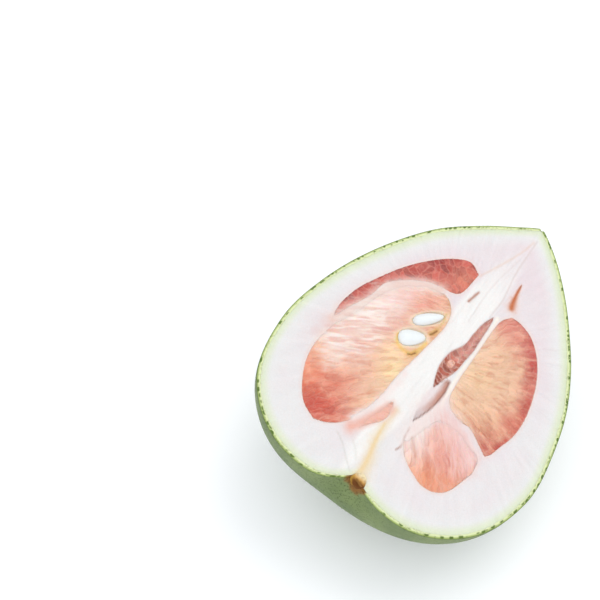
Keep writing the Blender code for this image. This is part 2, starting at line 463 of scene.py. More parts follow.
class Shader:
    """A short way to write the node trees of the fruit's finishes."""

    def __init__(self, name: str) -> None:
        """Start a material with a Principled shader.

        Args:
            name: The material's name.
        """
        self.material = bpy.data.materials.new(name)
        self.material.use_nodes = True
        self.tree = self.material.node_tree
        self.principled = self.tree.nodes["Principled BSDF"]
        self.place = self.tree.nodes.new("ShaderNodeTexCoord").outputs["Object"]

    def set(self, **values: float | Colour) -> None:
        """Set the shader's own sockets; underscores stand for spaces."""
        for name, value in values.items():
            socket = self.principled.inputs[name.replace("_", " ")]
            socket.default_value = (*value, 1.0) if socket.type == "RGBA" else value

    def link(self, output: bpy.types.NodeSocket, socket: bpy.types.NodeSocket) -> None:
        """Join two sockets."""
        self.tree.links.new(output, socket)

    def attribute(self, name: str, output: str) -> bpy.types.NodeSocket:
        """Read one of the mesh's own attributes."""
        node = self.tree.nodes.new("ShaderNodeAttribute")
        node.attribute_name = name
        return node.outputs[output]

    def noise(self, scale: float, detail: float = 4.0, rough: float = 0.55,
              place: bpy.types.NodeSocket | None = None) -> bpy.types.NodeSocket:
        """Make noise of a given scale on the object's coordinates."""
        node = self.tree.nodes.new("ShaderNodeTexNoise")
        node.inputs["Scale"].default_value = scale
        node.inputs["Detail"].default_value = detail
        node.inputs["Roughness"].default_value = rough
        self.link(place or self.place, node.inputs["Vector"])
        return node.outputs["Fac"]

    def cells(self, scale: float, randomness: float = 1.0,
              place: bpy.types.NodeSocket | None = None) -> bpy.types.NodeSocket:
        """Measure the distance to the nearest point of a scattered set."""
        node = self.tree.nodes.new("ShaderNodeTexVoronoi")
        node.inputs["Scale"].default_value = scale
        node.inputs["Randomness"].default_value = randomness
        self.link(place or self.place, node.inputs["Vector"])
        return node.outputs["Distance"]

    def stretch(self, value: bpy.types.NodeSocket, low: float, high: float,
                start: float = 0.0, end: float = 1.0) -> bpy.types.NodeSocket:
        """Stretch the range low to high onto start to end."""
        node = self.tree.nodes.new("ShaderNodeMapRange")
        node.interpolation_type = "SMOOTHSTEP"
        for name, number in zip(("From Min", "From Max", "To Min", "To Max"),
                                (low, high, start, end)):
            node.inputs[name].default_value = number
        self.link(value, node.inputs["Value"])
        return node.outputs["Result"]

    def math(self, operation: str, first: bpy.types.NodeSocket,
             second: bpy.types.NodeSocket | float) -> bpy.types.NodeSocket:
        """Work out one operation on two values."""
        node = self.tree.nodes.new("ShaderNodeMath")
        node.operation = operation
        self.link(first, node.inputs[0])
        if isinstance(second, (int, float)):
            node.inputs[1].default_value = second
        else:
            self.link(second, node.inputs[1])
        return node.outputs[0]

    def blend(self, share: bpy.types.NodeSocket, first: Colour | bpy.types.NodeSocket,
              second: Colour | bpy.types.NodeSocket,
              mode: str = "MIX") -> bpy.types.NodeSocket:
        """Blend two colours by a share."""
        node = self.tree.nodes.new("ShaderNodeMix")
        node.data_type = "RGBA"
        node.blend_type = mode
        self.link(share, node.inputs[0])
        for socket, value in zip((node.inputs[6], node.inputs[7]), (first, second)):
            if isinstance(value, tuple):
                socket.default_value = (*value, 1.0)
            else:
                self.link(value, socket)
        return node.outputs[2]

    def bump(self, height: bpy.types.NodeSocket, depth: float) -> bpy.types.NodeSocket:
        """Raise the surface by a height map; depth is in metres."""
        node = self.tree.nodes.new("ShaderNodeBump")
        node.inputs["Strength"].default_value = 1.0
        node.inputs["Distance"].default_value = depth
        self.link(height, node.inputs["Height"])
        return node.outputs["Normal"]

    def finish(self, colour: bpy.types.NodeSocket | None = None,
               normal: bpy.types.NodeSocket | None = None,
               roughness: bpy.types.NodeSocket | None = None) -> bpy.types.Material:
        """Join the worked-out values to the shader and give the material."""
        for output, name in ((colour, "Base Color"), (normal, "Normal"),
                             (roughness, "Roughness")):
            if output is not None:
                self.link(output, self.principled.inputs[name])
        return self.material


@dataclass(frozen=True)
class RindFinish:
    """Matte green rind with paler clouds and gland pits, and a pale edge with green glands."""

    green: Colour = shade(88, 106, 62)
    light: Colour = shade(120, 135, 84)
    pit: Colour = shade(66, 86, 42)
    edge_outer: Colour = shade(142, 160, 82)
    edge_inner: Colour = shade(208, 216, 166)
    gland: Colour = shade(78, 104, 26)
    scar: Colour = shade(124, 84, 26)
    mottle_scale: float = 42.0
    pit_scale: float = 820.0
    pit_share: float = 0.32
    swell_scale: float = 160.0
    relief: float = 0.0004

    def material(self) -> bpy.types.Material:
        """Build the finish.

        The tone is 0 on the skin and rises to 1 across the cut edge; the arc is the length
        along the rim, in gland steps; the scar rises to 1 at the stem.

        Returns:
            The material.
        """
        shader = Shader("rind")
        shader.set(Roughness=0.55, Specular_IOR_Level=0.3, Subsurface_Weight=0.06,
                   Subsurface_Radius=(0.004, 0.005, 0.002), Subsurface_Scale=1.0)
        mottle = shader.stretch(shader.noise(self.mottle_scale, 5.0), 0.2, 0.85)
        skin = shader.blend(mottle, self.green, self.light)
        pits = shader.stretch(shader.cells(self.pit_scale), 0.12, 0.4, 1.0, 0.0)
        skin = shader.blend(shader.math("MULTIPLY", pits, self.pit_share), skin, self.pit)
        tone = shader.attribute("tone", "Fac")
        edge = shader.blend(shader.stretch(tone, 0.1, 0.7), self.edge_outer, self.edge_inner)
        spread = shader.tree.nodes.new("ShaderNodeCombineXYZ")
        shader.link(shader.attribute("arc", "Fac"), spread.inputs[0])
        shader.link(shader.math("MULTIPLY", tone, 0.8), spread.inputs[1])
        dots = shader.stretch(shader.cells(1.0, 0.8, spread.outputs[0]), 0.30, 0.48, 1.0, 0.0)
        outer_part = shader.stretch(tone, 0.5, 0.85, 0.95, 0.0)
        edge = shader.blend(shader.math("MULTIPLY", dots, outer_part), edge, self.gland)
        colour = shader.blend(shader.stretch(tone, 0.02, 0.2), skin, edge)
        colour = shader.blend(shader.attribute("scar", "Fac"), colour, self.scar)
        height = shader.math("SUBTRACT", shader.noise(self.swell_scale, 3.0), pits)
        return shader.finish(colour, shader.bump(height, self.relief))


@dataclass(frozen=True)
class PithFinish:
    """Spongy pith: soft, matte, with fine grain."""

    grain_scale: float = 1400.0
    sponge_scale: float = 420.0
    dim: Colour = shade(205, 190, 180)
    relief: float = 0.00018

    def material(self) -> bpy.types.Material:
        """Build the finish from the painted tint and a fine grain."""
        shader = Shader("pith")
        shader.set(Roughness=0.62, Specular_IOR_Level=0.3, Subsurface_Weight=0.35,
                   Subsurface_Radius=(0.006, 0.0045, 0.004), Subsurface_Scale=0.6)
        tint = shader.attribute("tint", "Color")
        grain = shader.noise(self.grain_scale, 3.0)
        share = shader.stretch(grain, 0.25, 0.75, 0.0, 0.10)
        colour = shader.blend(share, tint, self.dim, "MULTIPLY")
        sponge = shader.math("ADD", grain, shader.noise(self.sponge_scale, 2.0))
        return shader.finish(colour, shader.bump(sponge, self.relief))


@dataclass(frozen=True)
class PulpFinish:
    """Moist pulp: painted juice sacs with a soft gloss and light inside them."""

    name: str = "pulp"
    gloss: float = 0.3
    depth: float = 0.45
    fine_scale: float = 900.0
    sheen_scale: float = 300.0
    pale: Colour = shade(240, 200, 176)
    relief: float = 0.00012

    def material(self) -> bpy.types.Material:
        """Build the finish from the painted tint, broken up by fine noise."""
        shader = Shader(self.name)
        shader.set(Specular_IOR_Level=0.5, Subsurface_Weight=self.depth,
                   Subsurface_Radius=(0.006, 0.0022, 0.0012), Subsurface_Scale=0.5)
        tint = shader.attribute("tint", "Color")
        fine = shader.noise(self.fine_scale, 4.0)
        colour = shader.blend(shader.stretch(fine, 0.45, 0.8, 0.0, 0.12), tint, self.pale)
        rough = shader.stretch(shader.noise(self.sheen_scale, 2.0), 0.3, 0.7, self.gloss,
                               self.gloss + 0.3)
        return shader.finish(colour, shader.bump(fine, self.relief), rough)


@dataclass(frozen=True)
class SeedFinish:
    """Pale, slightly moist seed coat with a faint grain."""

    grain_scale: float = 700.0
    dim: Colour = shade(204, 202, 190)
    relief: float = 0.00008

    def material(self) -> bpy.types.Material:
        """Build the finish from the painted tint and fine noise."""
        shader = Shader("seed_coat")
        shader.set(Roughness=0.38, Specular_IOR_Level=0.5, Subsurface_Weight=0.3,
                   Subsurface_Radius=(0.004, 0.004, 0.0035), Subsurface_Scale=0.5)
        grain = shader.noise(self.grain_scale, 3.0)
        colour = shader.blend(shader.stretch(grain, 0.3, 0.8, 0.0, 0.15),
                              shader.attribute("tint", "Color"), self.dim)
        return shader.finish(colour, shader.bump(grain, self.relief))


@dataclass(frozen=True)
class StemFinish:
    """Dry, dark, fibrous stem tissue."""

    fibre_scale: float = 700.0
    dark: Colour = shade(104, 62, 18)
    relief: float = 0.0003

    def material(self) -> bpy.types.Material:
        """Build the finish from the painted tint and coarse fibres."""
        shader = Shader("stem_tissue")
        shader.set(Roughness=0.8, Specular_IOR_Level=0.25)
        fibre = shader.noise(self.fibre_scale, 4.0, 0.6)
        colour = shader.blend(shader.stretch(fibre, 0.4, 0.75, 0.0, 0.45),
                              shader.attribute("tint", "Color"), self.dark)
        return shader.finish(colour, shader.bump(fibre, self.relief))


@dataclass(frozen=True)
class Dab:
    """A soft patch of colour on a segment."""

    x: float
    y: float
    reach: float
    colour: Colour
    strength: float = 0.8


class Grain(Enum):
    """Which way the streaks of a veil run, in degrees from +X."""

    LEVEL = -54.6
    UPRIGHT = 38.0


@dataclass(frozen=True)
class Wash:
    """A torn veil of membrane: a soft band of colour along a line, broken into streaks."""

    points: tuple[tuple[float, float], ...]
    width: float
    colour: Colour
    strength: float
    streak: float = 0.5
    grain: Grain = Grain.LEVEL
    streak_length: float = 8.0
    streak_width: float = 1.15
    ragged_step: float = 5.0

    def lay(self, patch: Patch, seed: int) -> np.ndarray:
        """Lay the veil over the colours of a patch.

        Args:
            patch: The patch.
            seed: The seed of the streaks.

        Returns:
            The veil's share at each place.
        """
        noise = Lattice(seed)
        x, y = patch.x, patch.y
        turn = math.radians(self.grain.value)
        along = (x * math.cos(turn) + y * math.sin(turn)) / self.streak_length
        side = (y * math.cos(turn) - x * math.sin(turn)) / self.streak_width
        side = side + 0.8 * noise.layered(x / 9, y / 9, 2)
        ragged = ramp(-0.32, 0.4, noise.layered(along, side, 3))
        sway = noise.layered(x / self.ragged_step + 30, y / self.ragged_step)
        away = patch.to_line(self.points) * (1 + 0.4 * sway)
        share = self.strength * bell(away, self.width) * (1 - self.streak * (1 - ragged))
        patch.tint(self.colour, share)
        return share


VEIL_SEED = 200
VEILS = (
    Wash(((-28, 60), (-15, 54.5), (0, 48.5), (11, 44.5), (18, 38.5), (22.5, 31), (25, 25)), 3.9,
         shade(218, 194, 184), 1.0, 0.15),
    Wash(((-34, 54), (-22, 47), (-8, 42), (6, 38)), 9.5, shade(208, 160, 150), 0.85, 0.25),
    Wash(((-38, 53), (-25, 50), (-12, 47), (2, 43)), 8.5, shade(226, 216, 208), 1.0, 0.7),
    Wash(((-44, 48), (-32, 41), (-16, 38)), 6.5, shade(226, 212, 202), 1.0, 0.8),
    Wash(((-34, 44), (-22, 37), (-8, 36)), 6.0, shade(198, 134, 124), 0.6, 0.95),
    Wash(((0, 44), (10, 40), (19, 34)), 5.0, shade(224, 196, 188), 0.95, 0.5),
    Wash(((11, 29), (17, 24)), 4.5, shade(220, 126, 114), 0.55, 0.6),
    Wash(((-33, -12), (-34, -22), (-39, -35), (-44, -43)), 5.8, shade(220, 187, 183), 1.0, 0.3,
         Grain.UPRIGHT),
    Wash(((-34, -10.5), (-44, -11), (-54, -10.5)), 7.5, shade(222, 209, 205), 1.0, 0.25,
         Grain.UPRIGHT),
    Wash(((-38, -20), (-44, -30), (-52, -40)), 6.0, shade(218, 176, 170), 0.8, 0.8,
         Grain.UPRIGHT),
    Wash(((-55, -12), (-62, -19)), 1.2, shade(186, 128, 104), 0.6, 0.2, Grain.UPRIGHT),
    Wash(((-50, -12), (-56, -18)), 4.0, shade(224, 204, 198), 0.8, 0.5, Grain.UPRIGHT),
    Wash(((-71, 17.4), (-62, 13), (-50, 8.2)), 3.4, shade(220, 166, 150), 0.95, 0.15),
    Wash(((-66, 20), (-56, 16), (-42, 12.5), (-28, 12)), 2.0, shade(224, 210, 206), 0.9, 0.3),
)


def lay_veils(patch: Patch) -> np.ndarray:
    """Lay every veil of membrane on a patch, and give the largest share of any veil."""
    shares = [veil.lay(patch, VEIL_SEED + number) for number, veil in enumerate(VEILS)]
    return np.max(shares, axis=0)


class Outlined:
    """A shape in the cut face, given as a row of lines across it.

    A point of the shape has a share along the row, from 0 to 1, and a share across its
    line, from 1 at the first end to -1 at the other.
    """

    sections: Pairs
    outline_steps: int

    def line(self, share: np.ndarray) -> np.ndarray:
        """Read both ends of the lines across, as four columns."""
        pairs = np.array(self.sections, float).reshape(len(self.sections), 4)
        return smooth_curve(np.linspace(0, 1, len(self.sections)), pairs, share)

    def outline(self) -> np.ndarray:
        """Give the closed outline, up one side and down the other."""
        ends = self.line(np.linspace(0, 1, self.outline_steps))
        return np.vstack([ends[:, :2], ends[-2:0:-1, 2:]])

    def plane(self, along: np.ndarray, across: np.ndarray, inset: float = 0.0) -> np.ndarray:
        """Place shares along and across in the cut face.

        Args:
            along: The shares along the row.
            across: The shares across the lines.
            inset: How far inside the outline a share of 1 stays, below 0 for outside.

        Returns:
            The places in the cut face.
        """
        ends = self.line(along)
        middle = (ends[..., :2] + ends[..., 2:]) / 2
        half = (ends[..., :2] - ends[..., 2:]) / 2
        width = np.maximum(np.linalg.norm(half, axis=-1, keepdims=True), 1e-6)
        kept = np.maximum(width - inset, 0.02) / width
        return middle + half * kept * across[..., None]


@dataclass
class Segment(Outlined):
    """One pulp segment: its chamber in the cut face, its juice sacs and its colours."""

    name: str
    node: str
    slot: str
    sections: Pairs
    focus: tuple[float, float]
    sac_length: float
    sac_width: float
    middle: Colour
    outer: Colour
    inner: Colour
    dabs: tuple[Dab, ...] = ()
    web: Colour = shade(232, 176, 156)
    web_share: float = 0.25
    variety: float = 0.12
    seed: int = 1
    rows: int = 300
    across: int = 200
    thickness: float = 6.0
    sunk: float = 0.25
    tucked: float = 0.5
    # The share of each channel taken out by the painted shade in the hollows between sacs.
    hollow_shade: Colour = (0.08, 0.26, 0.30)
    # Pale pink for the segment's edge: the membrane border, partly painted light against the
    # shade on its steep side.
    rim: Colour = shade(226, 170, 156)
    outline_steps: int = 90

    def relief(self, x: np.ndarray, y: np.ndarray) -> tuple[np.ndarray, Cells, np.ndarray]:
        """Shape the juice sacs: long cells that point at the segment's focus.

        The cells are laid out by the distance from the focus and the angle about it, both
        bent by noise, so a sac widens away from the focus. Each sac is a low dome.

        Args:
            x: Places along X.
            y: Places along Y.

        Returns:
            The height, the cells, and the share of fine strands.
        """
        bend = Lattice(self.seed + 40)
        away = np.hypot(x - self.focus[0], y - self.focus[1])
        turn = np.arctan2(y - self.focus[1], x - self.focus[0])
        span = float(np.mean(away))
        p = away / self.sac_length + 0.4 * bend.layered(x / 7, y / 7)
        q = (turn % math.tau) * span / self.sac_width + 0.8 * bend.layered(x / 9 + 9, y / 9)
        cells = Cells.read(p, q, self.seed)
        dome = np.sqrt(np.clip(cells.border, 0, 0.6) / 0.6)
        strands = bend.layered(p * 0.9, q * 1.1, 3)
        height = 0.34 * dome + 0.22 * (cells.tag - 0.5) + 0.2 * strands
        return height, cells, strands

    def paint(self, patch: Patch, across: np.ndarray, cells: Cells,
              strands: np.ndarray) -> np.ndarray:
        """Colour the sacs, the patches and the pale veils of membrane, with painted shade in the
        low parts of the sac relief.

        Args:
            patch: The top of the segment.
            across: The share across the segment.
            cells: The juice sacs.
            strands: The fine strands.

        Returns:
            How much veil lies on each place.
        """
        drift = Lattice(self.seed + 60)
        wander = 0.25 * drift.layered(patch.x / 8, patch.y / 8)
        patch.tint(self.outer, ramp(0.5, 1.0, across + wander))
        patch.tint(self.inner, ramp(0.5, 1.0, -across + wander))
        for dab in self.dabs:
            away = np.hypot(patch.x - dab.x, patch.y - dab.y) / dab.reach * (1 + wander)
            patch.tint(dab.colour, dab.strength * bell(away, 1.0))
        level = strands + 0.5 * (cells.tag - 0.5)
        patch.tint(self.web, 0.34 * ramp(-0.2, 1.1, level))
        # Painted shade: the low parts of the sac relief are darkened and reddened, as shade in
        # their hollows.
        hollow_share = ramp(0.0, -0.8, level)
        patch.colour *= 1 - hollow_share[..., None] * np.array(self.hollow_shade)
        patch.colour *= (1 + self.variety * (cells.tag - 0.5))[..., None]
        patch.tint(self.web, self.web_share * (1 - ramp(0.0, 0.25, cells.border)))
        veil = lay_veils(patch)
        patch.colour = np.clip(patch.colour, 0.0, 1.0)
        return veil

    def build(self, finish: bpy.types.Material, hollows: "SeedPocket | None") -> bpy.types.Object:
        """Build the segment as a closed body with a detailed top.

        Args:
            finish: The material of the pulp.
            hollows: The pocket round the seeds, if this segment holds them.

        Returns:
            The object.
        """
        along = 0.5 - 0.5 * np.cos(np.linspace(0.012, 1 - 0.012, self.rows) * math.pi)
        across = np.sin(np.linspace(-1, 1, self.across) * math.pi / 2) * 0.4 + np.linspace(
            -1, 1, self.across) * 0.6
        grid_along, grid_across = np.meshgrid(along, across, indexing="ij")
        flat = self.plane(grid_along, grid_across, -self.tucked)
        patch = Patch.plain(flat[..., 0], flat[..., 1], self.middle)
        height, cells, strands = self.relief(patch.x, patch.y)
        veil = self.paint(patch, grid_across, cells, strands)
        edge = np.minimum(1 - np.abs(grid_across),
                          4 * np.minimum(grid_along, 1 - grid_along))
        swell = ramp(0.0, 0.12, edge)
        height = height * (1 - 0.7 * veil) + 0.3 * veil
        # Partly the pale membrane border, partly painted light: the edge is lightened to offset
        # the shade on its steep side.
        patch.tint(self.rim, 0.5 * ramp(0.05, 0.0, edge))
        patch.z = -self.sunk * swell - 0.2 * (1 - swell) + swell * (height - 0.2) - 0.1 * veil
        if hollows is not None:
            hollows.carve(patch)
        under_across = np.linspace(0.97, -0.97, 7)
        under_grid = np.meshgrid(along, under_across, indexing="ij")
        under = self.plane(*under_grid)
        depth = -self.thickness * np.sin(math.pi * under_grid[0]) - 1.5
        bottom = np.concatenate([under, depth[..., None]], -1)
        rings = np.concatenate([patch.points(), bottom], axis=1)
        under_colour = np.broadcast_to(np.array(self.middle), (*depth.shape, 3))
        colours = np.concatenate([patch.colour, under_colour], axis=1)
        piece = Builder.tube(self.name, rings, colours)
        return Builder.dress(piece, finish, self.slot, self.node)


@dataclass(frozen=True)
class Seed:
    """One seed: a pointed drop, half sunk in the pulp."""

    name: str
    node: str
    x: float
    y: float
    z: float
    heading: float
    length: float
    width: float
    thickness: float
    rings: int = 90
    sides: int = 72
    coat: Colour = shade(219, 223, 224)
    under: Colour = shade(214, 206, 186)
    tip: Colour = shade(222, 216, 196)
    patch: Colour = shade(196, 202, 200)

    def local(self, x: np.ndarray, y: np.ndarray) -> tuple[np.ndarray, np.ndarray]:
        """Give places as shares of the seed's half length and half width."""
        turn = math.radians(self.heading)
        dx, dy = x - self.x, y - self.y
        along = dx * math.cos(turn) + dy * math.sin(turn)
        side = dy * math.cos(turn) - dx * math.sin(turn)
        return along / (self.length / 2), side / (self.width / 2)

    def build(self, finish: bpy.types.Material) -> bpy.types.Object:
        """Build the seed from rings along its length.

        A ring's radius follows a circle, thinned towards the point, with shallow ribs.

        Args:
            finish: The material of the seed coat.

        Returns:
            The object.
        """
        steep, turn = np.meshgrid(np.linspace(0.03, math.pi - 0.03, self.rings),
                                  np.linspace(0, math.tau, self.sides, endpoint=False),
                                  indexing="ij")
        along = np.cos(steep)
        taper = 1 - 0.28 * (along + 0.35 * (1 - along**2))
        noise = Lattice(7).layered(along * 3 + self.x, np.sin(turn) * 2 + 5)
        ribs = 1 + 0.012 * np.cos(turn * 9) * np.sin(steep) + 0.02 * noise
        ring = np.sin(steep) * taper * ribs
        side = ring * np.cos(turn) * self.width / 2
        up = ring * np.sin(turn) * self.thickness / 2 + self.z
        ahead = along * self.length / 2
        heading = math.radians(self.heading)
        rings = np.stack([self.x + ahead * math.cos(heading) - side * math.sin(heading),
                          self.y + ahead * math.sin(heading) + side * math.cos(heading), up], -1)
        colour = np.broadcast_to(np.array(self.coat), rings.shape).copy()
        colour = mix(colour, self.under, 0.8 * ramp(0.1, -0.6, np.sin(turn)))
        colour = mix(colour, self.tip, 0.5 * ramp(0.8, 1.0, along))
        colour = mix(colour, self.patch, 0.35 * ramp(0.2, 0.9, noise))
        return Builder.dress(Builder.tube(self.name, rings, colour), finish, "seed", self.node)


SEEDS = (
    Seed("seed_long_coat", "seed_long", 7, 20, -1.0, -41, 18, 7.2, 7.0),
    Seed("seed_round_coat", "seed_round", -8, 21, -1.2, -50, 15.6, 10, 7.4),
)


@dataclass(frozen=True)
class SeedPocket:
    """The hollow in the large segment that the seeds lie in, yellow on the stem side."""

    seeds: tuple[Seed, ...] = SEEDS
    depth: float = 0.7
    lining: Colour = shade(224, 202, 178)
    shadow: Colour = shade(200, 182, 158)
    yellow: Colour = shade(220, 178, 84)
    brown: Colour = shade(130, 78, 22)
    amber: Colour = shade(206, 160, 84)
    tan: Colour = shade(206, 172, 120)
    crescent: tuple[tuple[float, float], ...] = (
        (-11.5, 28), (-15.8, 25.4), (-17.2, 20.5), (-16.4, 16.4), (-12.5, 14.2), (-6, 13))
    cracks: tuple[tuple[tuple[float, float], ...], ...] = (
        ((0.2, 14.0), (1.6, 13.2), (4.2, 12.4)), ((-17.2, 17.2), (-16.2, 15.6), (-14.2, 14.4)))
    seam: tuple[tuple[float, float], ...] = ((0.8, 14.2), (5.5, 12.4), (11, 12.6), (15.5, 13.8))

    def carve(self, patch: Patch) -> None:
        """Sink the pulp round the seeds and colour the hollow."""
        x, y = patch.x, patch.y
        for seed in self.seeds:
            along, side = seed.local(x, y)
            away = np.hypot(along, side)
            patch.z = patch.z - self.depth * ramp(1.16, 0.9, away)
            patch.tint(self.lining, 0.8 * ramp(1.5, 1.08, away))
            patch.tint(self.shadow, 0.7 * ramp(1.10, 0.97, away))
        knots = np.arange(len(self.crescent))
        around = patch.to_line(smooth_curve(knots, self.crescent, np.linspace(0, knots[-1], 40)))
        patch.tint(self.yellow, 0.8 * bell(around, 1.2))
        patch.tint(self.tan, 0.85 * bell(patch.to_line(self.seam), 0.8))
        for crack in self.cracks:
            rough = Lattice(83).layered(x / 1.4, y / 1.4, 2)
            beside = patch.to_line(crack) * (1 + 0.5 * rough)
            patch.tint(self.amber, 0.8 * bell(beside, 1.5))
            patch.tint(self.brown, 0.8 * bell(beside, 0.55))
            patch.z = patch.z - 0.7 * bell(beside, 0.9)


@dataclass(frozen=True)
class Crease:
    """A line drawn on the pith: a slit, a vein or a band of fibres."""

    points: tuple[tuple[float, float], ...]
    width: float
    colour: Colour
    strength: float
    depth: float = 0.0
    end_width: float | None = None

    def draw(self, patch: Patch, noise: Lattice) -> None:
        """Colour and sink the pith on the line, tapering towards the line's end.

        Args:
            patch: The pith.
            noise: The noise that roughens the line's sides.
        """
        knots = np.arange(len(self.points))
        line = smooth_curve(knots, self.points, np.linspace(0, knots[-1], 8 * len(knots)))
        away = patch.to_line(line) * (1 + 0.3 * noise.layered(patch.x / 2, patch.y / 2))
        run = line[-1] - line[0]
        passed = ((patch.x - line[0, 0]) * run[0] + (patch.y - line[0, 1]) * run[1]) / (run @ run)
        last = self.width if self.end_width is None else self.end_width
        share = bell(away, self.width + (last - self.width) * np.clip(passed, 0, 1))
        patch.tint(self.colour, self.strength * share)
        patch.z = patch.z - self.depth * share


@dataclass
class Pith:
    """The white body of the peel: the face of the cut with everything marked on it."""

    chambers: tuple[Segment, ...]
    fissure: "Fissure"
    trough: "Trough"
    creases: tuple[Crease, ...]
    sheet_reach: float = 9.0
    drop: float = 4.0
    rind: float = 2.3
    least_height: float = 1.2
    dimple: float = 0.7
    green_reach: float = 6.0
    fibres_per_radian: float = 34.0
    cloud_step: float = 16.0
    steps: int = 292
    back_rings: int = 10
    seed: int = 11
    white: Colour = shade(216, 215, 214)
    rose: Colour = shade(215, 203, 206)
    greenish: Colour = shade(206, 214, 180)
    bright: Colour = shade(226, 224, 221)
    blush: Colour = shade(222, 188, 180)
    lip: Colour = shade(230, 216, 208)

    def face_grid(self) -> np.ndarray:
        """Lay an even square grid over the cut face.

        A square is squeezed onto a disc by x = u sqrt(1 - v v / 2) and the same for y, and
        the disc is stretched to the rim in every direction.

        Returns:
            The points in the cut face, as rows by columns by two.
        """
        u, v = np.meshgrid(np.linspace(-1, 1, self.steps), np.linspace(-1, 1, self.steps),
                           indexing="ij")
        disc_x, disc_y = u * np.sqrt(1 - v * v / 2), v * np.sqrt(1 - u * u / 2)
        turn = np.arctan2(disc_y, disc_x)
        reach = np.hypot(disc_x, disc_y)
        return SKIN.rim(turn, self.rind - 0.25) * reach[..., None]

    def ground(self, x: np.ndarray, y: np.ndarray) -> Patch:
        """Work out the bare pith: cloudy, with fibres to the rim and a bright, streaky core.

        Args:
            x: Places along X.
            y: Places along Y.

        Returns:
            The patch.
        """
        noise = Lattice(self.seed)
        patch = Patch.plain(x, y, self.white)
        turn = np.arctan2(y, x)
        reach = np.hypot(x, y)
        from_rim = np.linalg.norm(SKIN.rim(turn, self.rind), axis=-1) - reach
        fibres = noise.layered((turn % math.tau) * self.fibres_per_radian, reach / 14, 3)
        cloud = noise.layered(x / self.cloud_step, y / self.cloud_step + 40, 3)
        streaks = noise.layered(x / self.cloud_step + 60, (y - 0.05 * x) / 1.3, 3)
        rosy = np.clip(0.35 + 0.4 * cloud + 0.5 * ramp(-20, 60, x), 0, 1)
        patch.tint(self.rose, rosy * ramp(3, 14, from_rim))
        core = ramp(self.core_reach(x) + 2.0, self.core_reach(x) - 2.5, np.abs(y - 4 + 0.04 * x))
        patch.tint(self.bright, core * (0.9 - 0.8 * ramp(35, 80, x)))
        patch.colour *= (1 - 0.05 * core * ramp(0.05, 0.6, streaks))[..., None]
        patch.tint(self.greenish, 0.85 * ramp(self.green_reach, 0.0, from_rim))
        patch.colour *= (1 + 0.03 * fibres)[..., None]
        patch.z = 0.12 * fibres + 0.16 * cloud + core * (0.5 + 0.22 * streaks)
        return patch

    def open_chambers(self, patch: Patch) -> None:
        """Sink the pith under each segment, steeply, or gently where a veil covers both."""
        gaps = [patch.to_outline(chamber.outline()) for chamber in self.chambers]
        for chamber, away in zip(self.chambers, gaps):
            patch.tint(self.blush, 0.35 * ramp(3.0, 0.2, away))
            patch.tint(self.lip, 0.6 * bell(away - 0.5, 0.5))
            patch.tint(chamber.middle, 0.9 * ramp(0.5, -1.5, away))
        veil = lay_veils(patch)
        patch.z = patch.z + 0.2 * veil
        sheet = ramp(0.25, 0.7, veil)
        for away in gaps:
            lip = 0.08 * bell(away - 0.6, 0.6) * (1 - sheet)
            steep, gentle = ramp(0.35, -0.9, away), ramp(0.5, -self.sheet_reach, away)
            fall = self.drop * (steep + (gentle - steep) * sheet)
            patch.z = patch.z * ramp(-0.2, 1.5, away) + lip - fall

    def open_fissure(self, patch: Patch) -> None:
        """Sink the pith under the fissure's lining and redden its rim."""
        away = patch.to_outline(self.fissure.outline())
        patch.tint(self.fissure.rim, 0.8 * ramp(0.7, -0.3, away))
        fall = (self.fissure.depth + 2.0) * ramp(0.05, -0.7, away)
        patch.z = patch.z * ramp(-0.2, 1.5, away) - fall

    def shape(self, x: np.ndarray, y: np.ndarray) -> Patch:
        """Work out the height and the colour of the pith across the cut face.

        Args:
            x: Places along X.
            y: Places along Y.

        Returns:
            The patch.
        """
        patch = self.ground(x, y)
        noise = Lattice(self.seed)
        for crease in self.creases:
            crease.draw(patch, noise)
        self.open_chambers(patch)
        self.trough.carve(patch)
        self.open_fissure(patch)
        to_stem = np.hypot(x - STEM_PLACE[0], y - STEM_PLACE[1])
        patch.z = patch.z - self.dimple * ramp(7.5, 5.0, to_stem)
        return patch

    @staticmethod
    def core_reach(x: np.ndarray) -> np.ndarray:
        """Give half the core's width, wide in the middle and closing at both ends."""
        return smooth_curve((-95, -75, -45, 0, 40, 70, 95), (1.5, 5, 9.5, 9.5, 9.0, 5.5, 0.5),
                            x)[..., 0]

    def back(self, edge: np.ndarray) -> np.ndarray:
        """Carry the face's border round the back, as rings inside the rind, to the bottom.

        Each ring falls from the cut face by an equal angle, and each point keeps its turn.

        Args:
            edge: The points of the face's border.

        Returns:
            The points of the rings, then the single point at the bottom.
        """
        turn = np.arctan2(edge[:, 1], edge[:, 0])
        fall = np.linspace(0, math.pi / 2, self.back_rings + 1)[1:-1]
        turn, fall = np.meshgrid(turn, fall, indexing="xy")
        heading = np.stack([np.cos(turn) * np.cos(fall), np.sin(turn) * np.cos(fall),
                            -np.sin(fall)], -1)
        angle = np.arccos(np.clip(heading[..., 0], -1, 1))
        roll = np.arctan2(heading[..., 2], heading[..., 1])
        sunk = self.rind + 0.1
        bottom = SKIN.point(np.array([math.pi / 2]), np.array([-math.pi / 2]), sunk)
        return np.concatenate([SKIN.point(angle, roll, sunk).reshape(-1, 3), bottom])

